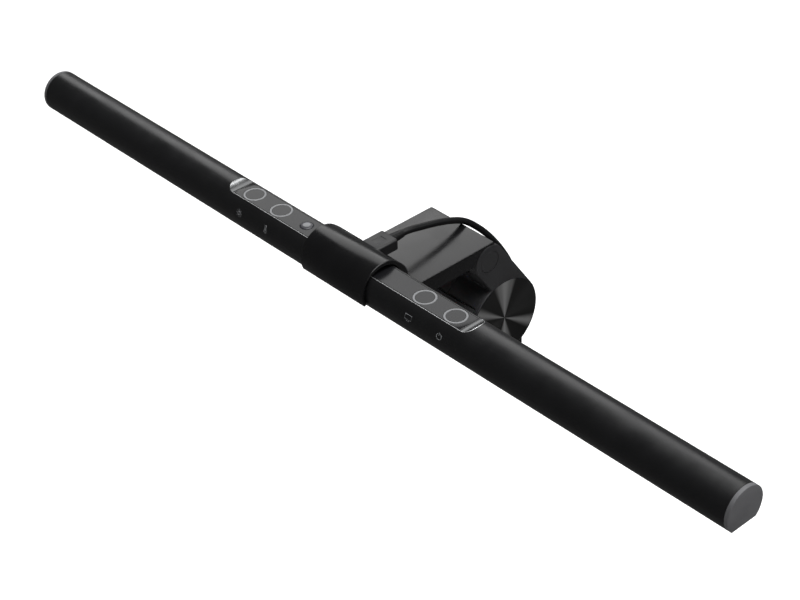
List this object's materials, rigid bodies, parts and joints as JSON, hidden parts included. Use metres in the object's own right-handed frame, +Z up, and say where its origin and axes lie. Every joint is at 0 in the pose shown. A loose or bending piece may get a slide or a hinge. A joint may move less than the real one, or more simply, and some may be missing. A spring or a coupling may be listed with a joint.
{
  "type": "monitor light bar",
  "caption": "Slim tube lamp in the collar of a clip for a monitor's top edge, with a touch panel along its top, a plug-in cord behind and a hinged counterweight arm at the back.",
  "frame": {"origin": "middle of the rest pad's underside, where the clip sits on the monitor's top edge", "axes": "+X along the lamp to the right of somebody sitting at the monitor, +Y towards the back of the monitor, +Z up"},
  "size_m": [0.45, 0.148, 0.1397],
  "materials": {
    "anodised_aluminium": "satin black anodised, bead blasted",
    "end_cap_plastic": "fine matte texture, dark grey",
    "clip_finish": "satin dark grey paint",
    "arm_plastic": "fine matte texture, dark grey",
    "spun_metal": "concentric spun face, dark plated",
    "gloss_panel": "smooth semi-gloss dark grey",
    "light_guide": "translucent pale grey, unlit",
    "smoked_lens": "polished smoked clear",
    "opal_diffuser": "frosted translucent white",
    "white_film": "matte white",
    "bare_aluminium": "mill finish",
    "circuit_board": "green solder mask",
    "bright_steel": "bright nickel plated",
    "cast_zinc": "as-cast zinc alloy",
    "cast_iron_weight": "turned, dull",
    "black_plastic": "fine matte texture, black",
    "black_rubber": "matte soft silicone",
    "nylon": "natural, slightly waxy",
    "plug_plastic": "fine matte texture, dark grey",
    "cord_rubber": "smooth matte jacket",
    "tie_strap": "woven hook-and-loop strap"
  },
  "bodies": {
    "clip": {"clip_body": "clip_finish", "collar_liner": "nylon", "clip_chassis": "cast_zinc", "bottom_cover": "black_plastic", "front_hook": "clip_finish", "hook_pad": "black_rubber", "rest_pad": "black_rubber", "hinge_pin": "bright_steel", "friction_washer_left": "nylon", "friction_washer_right": "nylon", "cover_screw_1": "bright_steel", "cover_screw_2": "bright_steel", "cover_screw_3": "bright_steel", "cover_screw_4": "bright_steel", "cord": "cord_rubber", "cord_coil": "cord_rubber", "cord_tie": "tie_strap", "cord_tail": "cord_rubber", "far_plug_housing": "plug_plastic", "far_plug_shell": "bright_steel"},
    "lamp": {"lamp_tube": "anodised_aluminium", "end_cap_left": "end_cap_plastic", "end_cap_right": "end_cap_plastic", "diffuser": "opal_diffuser", "reflector": "white_film", "led_strip": "white_film", "led_rail": "bare_aluminium", "control_board": "circuit_board", "usb_socket": "bright_steel", "control_panel": "gloss_panel", "touch_ring_brightness": "light_guide", "touch_ring_colour": "light_guide", "touch_ring_screen": "light_guide", "touch_ring_power": "light_guide", "light_sensor_lens": "smoked_lens", "plug_shell": "bright_steel", "plug_housing": "plug_plastic", "cord_sleeve": "cord_rubber"},
    "rear_arm": {"arm_shell_left": "arm_plastic", "arm_shell_right": "arm_plastic", "counterweight": "cast_iron_weight", "disc_left": "spun_metal", "disc_right": "spun_metal", "hinge_cap_left": "arm_plastic", "hinge_cap_right": "arm_plastic", "arm_pad": "black_rubber", "arm_screw_1": "bright_steel", "arm_screw_2": "bright_steel", "arm_screw_cover_1": "black_plastic", "arm_screw_cover_2": "black_plastic"}
  },
  "joints": [
    {"name": "lamp_tilt", "type": "hinge", "parent": "clip", "child": "lamp", "pos_m": [0, -0.038, 0.0185], "axis": [1, 0, 0], "range_deg": [-15, 15]},
    {"name": "arm_swing", "type": "hinge", "parent": "clip", "child": "rear_arm", "pos_m": [0, 0.0277, 0], "axis": [1, 0, 0], "range_deg": [-33, 4]}
  ]
}
